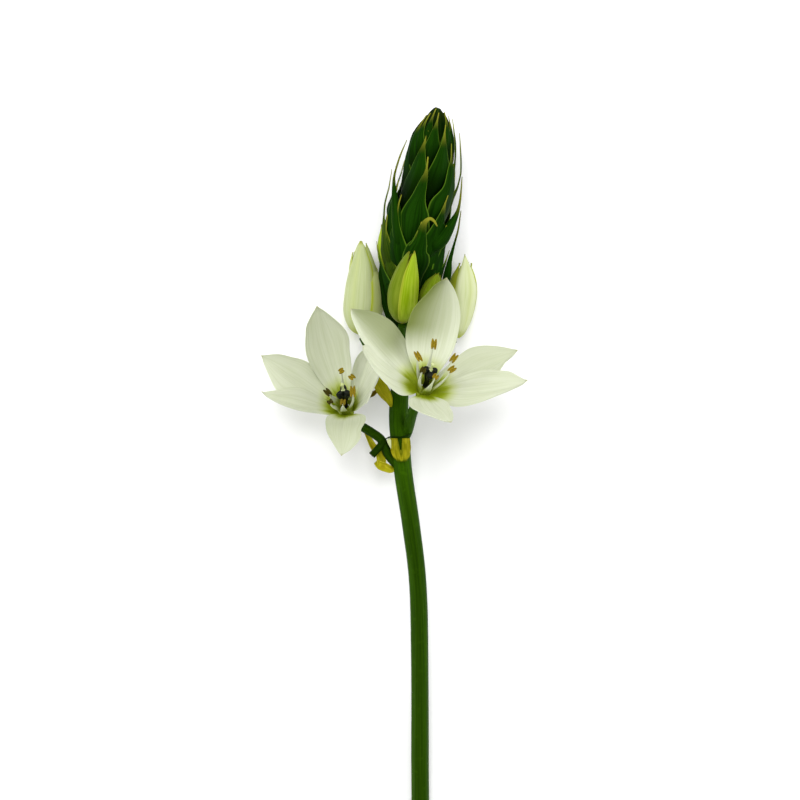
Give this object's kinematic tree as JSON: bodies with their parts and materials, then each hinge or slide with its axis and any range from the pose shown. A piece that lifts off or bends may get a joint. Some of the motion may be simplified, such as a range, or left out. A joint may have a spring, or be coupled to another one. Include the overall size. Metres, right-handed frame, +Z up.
{
  "type": "star of bethlehem flower",
  "caption": "Cut raceme of a star of Bethlehem lying down: bare green stalk, open white star flowers, closed buds and a dense tip of clasping green bracts.",
  "frame": {"origin": "on the surface that the stalk lies on, under the middle of the outline seen from above", "axes": "+Y runs along the stalk from the cut end to the green tip, +X to the right as seen from above with the tip away from the viewer, +Z up from the surface, which is the way the open flowers face"},
  "size_m": [0.0532, 0.1496, 0.0384],
  "materials": {
    "stem": "waxy dark green plant stalk",
    "head_bracts": "satin dark green bracts with paler edges",
    "tepals": "soft white petals with a yellow-green star at the centre",
    "stamens": "white filaments with dusty yellow-brown anthers",
    "pistil": "glossy near-black ovary with a pale style",
    "pale_buds": "satin white-green buds",
    "green_buds": "satin yellow-green buds",
    "dry_bracts": "dry papery olive and yellow bracts"
  },
  "bodies": {
    "root": {"stem": "stem", "bract_head": "head_bracts", "left_flower_tepals": "tepals", "left_flower_stamens": "stamens", "left_flower_pistil": "pistil", "right_flower_tepals": "tepals", "right_flower_stamens": "stamens", "right_flower_pistil": "pistil", "left_bud": "pale_buds", "right_bud": "pale_buds", "centre_bud": "green_buds", "small_right_bud": "green_buds", "papery_bract": "dry_bracts", "collar_bract": "dry_bracts", "olive_bract": "dry_bracts"}
  },
  "joints": []
}
